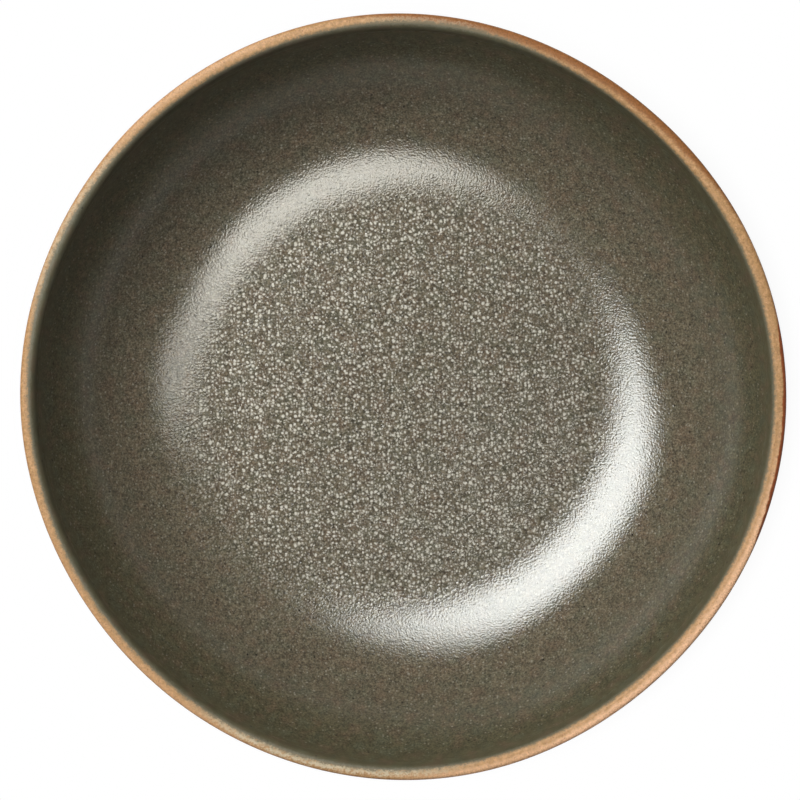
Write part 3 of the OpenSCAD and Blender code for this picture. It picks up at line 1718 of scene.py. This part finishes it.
@dataclass
class ClayWork(Ware):
    """The clay: the thrown bowl, and the foot ring under it.

    Attributes:
        body_steps: Rings on the floor, the inside, the lip and the outside.
        hub_r: Radius of the body's innermost ring.
        foot_edge_r: Radius of the foot ring's two standing edges.
        corner_steps: Steps round each of them.
        body_clay: Finish of the body.
        foot_clay: Finish of the foot ring.
    """

    body_steps: tuple[int, ...] = (12, 40, 16, 40)
    hub_r: float = 4 * MM
    foot_edge_r: float = 1.2 * MM
    corner_steps: int = 8
    body_clay: BareClay = BareClay("body clay")
    foot_clay: BareClay = BareClay("foot clay")

    def clay_body(self) -> bpy.types.Object:
        """Makes the clay under the coats, all in one piece.

        Returns:
            The piece.
        """
        section = self.section
        shell = Shell("thrown_bowl")
        stops = [section.middle_at - self.hub_r, section.floor_at, section.bead_inside]
        stops = [all_round(place) for place in (*stops, -section.bead_outside, section.foot_at)]
        lines = []
        for start, end, steps in zip(stops, stops[1:], self.body_steps):
            lines += between(start, end, steps)
        rings = self.skin(shell, [*lines, stops[-1]])
        shell.cover(rings[::-1])
        shell.fan(rings[0], self.middle(shell, section.floor_z - section.dish))
        shell.fan(rings[-1], self.middle(shell, section.foot_z), flipped=True)
        return shell.finish()

    def foot_ring(self) -> bpy.types.Object:
        """Makes the bare ring that the bowl stands on.

        Returns:
            The piece.
        """
        inner, outer = self.foot_in_r, self.section.foot_r
        top, edge = self.section.foot_z, self.foot_edge_r
        outline = [(inner, top), (inner, top / 2)]
        outline += bend((inner + edge, edge), edge, 180, 270, self.corner_steps)
        outline += bend((outer - edge, edge), edge, 270, 360, self.corner_steps)
        return self.turned("foot", outline + [(outer, top / 2), (outer, top)])

    def build(self) -> list[bpy.types.Object]:
        """Makes and dresses the foot ring and the body.

        Returns:
            The pieces.
        """
        return [
            self.dress(self.foot_ring(), "foot_ring", Slot.BARE_FOOT, self.foot_clay.material()),
            self.dress(self.clay_body(), "clay_body", Slot.CLAY, self.body_clay.material()),
        ]


@dataclass(frozen=True)
class SoftBox:
    """A soft studio lamp that faces straight down.

    Attributes:
        name: What the lamp is called.
        place: Its middle.
        size: Its length and its width.
        along: Direction that its length points in.
        radiance: Brightness of its face in the middle.
        fade: Shares of its half size over which each side dims: the near end and the
            far end of its length, then the side to the right and the one to the left.
        tint: Colour of its light.
        lights: Whether it lights what it faces.
        mirrored: Whether it shows in glossy surfaces.
    """

    name: str
    place: Point
    size: Pair
    along: float
    radiance: float
    fade: tuple[float, float, float, float]
    tint: Colour = (1.0, 1.0, 1.0)
    lights: bool = False
    mirrored: bool = True

    def dim(self, nodes: Nodes) -> None:
        """Dims the lamp's face towards its edges.

        Args:
            nodes: The lamp's nodes.
        """
        spot = nodes.split(nodes.add("ShaderNodeNewGeometry").outputs["Parametric"])
        start, end, right, left = (share / 2 for share in self.fade)
        level = nodes.times(nodes.ease(spot["X"], 0.0, start), nodes.ease(spot["X"], 1.0, 1 - end))
        for dark, full in ((0.0, right), (1.0, 1 - left)):
            level = nodes.times(level, nodes.ease(spot["Y"], dark, full))
        nodes.end(nodes.add("ShaderNodeEmission", {"Color": self.tint, "Strength": level}))

    def build(self) -> None:
        """Makes the lamp."""
        lamp = bpy.data.lights.new(self.name, "AREA")
        lamp.shape = "RECTANGLE"
        lamp.size, lamp.size_y = self.size
        lamp.energy = self.radiance * math.pi * self.size[0] * self.size[1]
        lamp.use_nodes = True
        self.dim(Nodes(lamp.node_tree, "ShaderNodeOutputLight"))
        piece = bpy.data.objects.new(self.name, lamp)
        bpy.context.scene.collection.objects.link(piece)
        piece.visible_diffuse = self.lights
        piece.visible_glossy = self.mirrored
        piece.location = self.place
        piece.rotation_euler.z = math.radians(self.along)


KEY_LAMP = SoftBox(
    "key lamp",
    place=(-0.278, 0.277, 0.70),
    size=(0.813, 0.519),
    along=50.0,
    radiance=9.5,
    fade=(0.37, 0.93, 0.19, 0.81),
    tint=(0.967, 1.0, 0.985),
)
FILL_LAMP = SoftBox(
    "fill lamp",
    place=(-1.213, 1.172, 2.481),
    size=(2.0, 2.0),
    along=46,
    radiance=13.3,
    fade=(0.3, 0.3, 0.3, 0.3),
    lights=True,
    mirrored=False,
)
LONG_CARD = SoftBox(
    "long card",
    place=(0.043, -0.301, 0.70),
    size=(0.478, 0.302),
    along=219.5,
    radiance=6.3,
    fade=(0.21, 0.71, 0.20, 0.73),
    tint=(1.0, 0.99, 0.91),
)
SHORT_CARD = SoftBox(
    "short card",
    place=(0.306, -0.082, 0.70),
    size=(0.357, 0.191),
    along=192.1,
    radiance=3.3,
    fade=(0.67, 0.17, 0.31, 0.84),
    tint=(1.0, 1.0, 0.93),
)


@dataclass
class Studio:
    """Floor, sky, lamps and camera.

    Attributes:
        rim_z: Height of the lip, at which the camera looks.
        camera_away: Distance of the camera.
        camera_lean: How far it leans from the upright, in degrees.
        camera_towards: Direction in which it leans.
        sensor: Width of its sensor, in millimetres.
        view_width: What it sees across at the height of the lip.
        picture: Width of the picture, in pixels.
        centre: Shift of the picture's middle, in pixels.
        horizon: Heights over which the sky dims, as shares of straight up.
        sky_low, sky_high: Light of the sky round the horizon and overhead.
        floor_half: Half of the floor's width.
        floor_drop: How far it lies under the foot, so that the two don't flicker.
        floor_grey: How pale the floor is.
        floor_white: How much of it the camera sees as plain white under the bowl.
        white_span: Distances from the axis over which it turns all white.
        lamps: The lamps.
    """

    rim_z: float
    camera_away: float = 1.0
    camera_lean: float = 3.5
    camera_towards: float = 43
    sensor: float = 36
    view_width: float = 228.55 * MM
    picture: int = 800
    centre: Pair = (-0.7, -1.8)
    horizon: Pair = (0.06, 0.2)
    sky_low: float = 0.8
    sky_high: float = 0.08
    floor_half: float = 6.0
    floor_drop: float = 0.05 * MM
    floor_grey: float = 0.8
    floor_white: float = 0.56
    white_span: Pair = span(90, 120)
    lamps: tuple[SoftBox, ...] = (KEY_LAMP, FILL_LAMP, LONG_CARD, SHORT_CARD)

    def camera(self) -> None:
        """Makes the camera, a little off the upright, as the photograph was taken."""
        lens = bpy.data.cameras.new("camera")
        lens.sensor_width = self.sensor
        lens.lens = self.sensor * self.camera_away / self.view_width
        lens.shift_x, lens.shift_y = (shift / self.picture for shift in self.centre)
        camera = bpy.data.objects.new("camera", lens)
        bpy.context.scene.collection.objects.link(camera)
        lean, towards = math.radians(self.camera_lean), math.radians(self.camera_towards)
        across = math.sin(lean)
        back = Vector((across * math.cos(towards), across * math.sin(towards), math.cos(lean)))
        right = Vector((0, 1, 0)).cross(back).normalized()
        turn = Matrix((right, back.cross(right), back)).transposed().to_4x4()
        place = Vector((0, 0, self.rim_z)) + back * self.camera_away
        camera.matrix_world = Matrix.Translation(place) @ turn
        bpy.context.scene.camera = camera

    def sky(self) -> None:
        """Makes a studio sky: light round the horizon, dimmer overhead, white behind the bowl."""
        world = bpy.data.worlds.new("studio")
        bpy.context.scene.world = world
        world.use_nodes = True
        nodes = Nodes(world.node_tree, "ShaderNodeOutputWorld")
        height = nodes.split(nodes.add("ShaderNodeTexCoord").outputs["Generated"])["Z"]
        level = nodes.ramp(nodes.ease(height, *self.horizon), self.sky_low, self.sky_high)
        level = nodes.reckon("MAXIMUM", level, nodes.camera_ray())
        nodes.end(nodes.add("ShaderNodeBackground", {"Color": (1.0, 1.0, 1.0), "Strength": level}))

    def floor(self) -> None:
        """Makes the pale floor, which takes the bowl's shadow and turns white beside it."""
        half, drop = self.floor_half, self.floor_drop
        mesh = bpy.data.meshes.new("floor")
        corners = [(-half, -half, -drop), (half, -half, -drop), (half, half, -drop), (-half, half, -drop)]
        mesh.from_pydata(corners, [], [(0, 1, 2, 3)])
        piece = bpy.data.objects.new("floor", mesh)
        bpy.context.scene.collection.objects.link(piece)
        surface = Surface("pale floor")
        matte = surface.add("ShaderNodeBsdfDiffuse", {"Color": (self.floor_grey,) * 3})
        white = surface.add("ShaderNodeEmission", {"Color": (1.0, 1.0, 1.0)})
        whiter = surface.ease(surface.radius(), *self.white_span)
        share = surface.times(surface.camera_ray(), surface.ramp(whiter, self.floor_white, 1.0))
        inputs = {0: share, 1: matte.outputs[0], 2: white.outputs[0]}
        surface.end(surface.add("ShaderNodeMixShader", inputs))
        mesh.materials.append(surface.material)
        piece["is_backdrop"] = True

    def build(self) -> None:
        """Makes the whole studio."""
        self.camera()
        self.sky()
        self.floor()
        for lamp in self.lamps:
            lamp.build()
        bpy.context.scene.view_settings.view_transform = "Standard"


def main() -> None:
    """Builds the bowl over its frame, and the studio round it."""
    logging.basicConfig(level=logging.INFO)
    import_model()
    cad_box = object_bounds()
    low, high = cad_box
    _, ring_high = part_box("foot_ring")
    disc_low, disc_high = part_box("base_glaze")
    band_low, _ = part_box("rim_band")
    inside_low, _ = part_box("inside_glaze")
    section = BowlSection(
        rim_r=(high[0] - low[0]) / 2,
        height=high[2],
        coat=disc_high[2] - disc_low[2],
        floor_z=inside_low[2],
        foot_r=ring_high[0],
        foot_z=ring_high[2],
    )
    foot_in_r = disc_high[0]
    glazing = Glazing(section, foot_in_r, band_drop=high[2] - band_low[2])
    clay_work = ClayWork(section, foot_in_r)
    for piece in (*glazing.build(), *clay_work.build()):
        LOG.info("%s: %d faces", piece.name, len(piece.data.polygons))
    Studio(rim_z=high[2]).build()


if __name__ == "__main__":
    main()
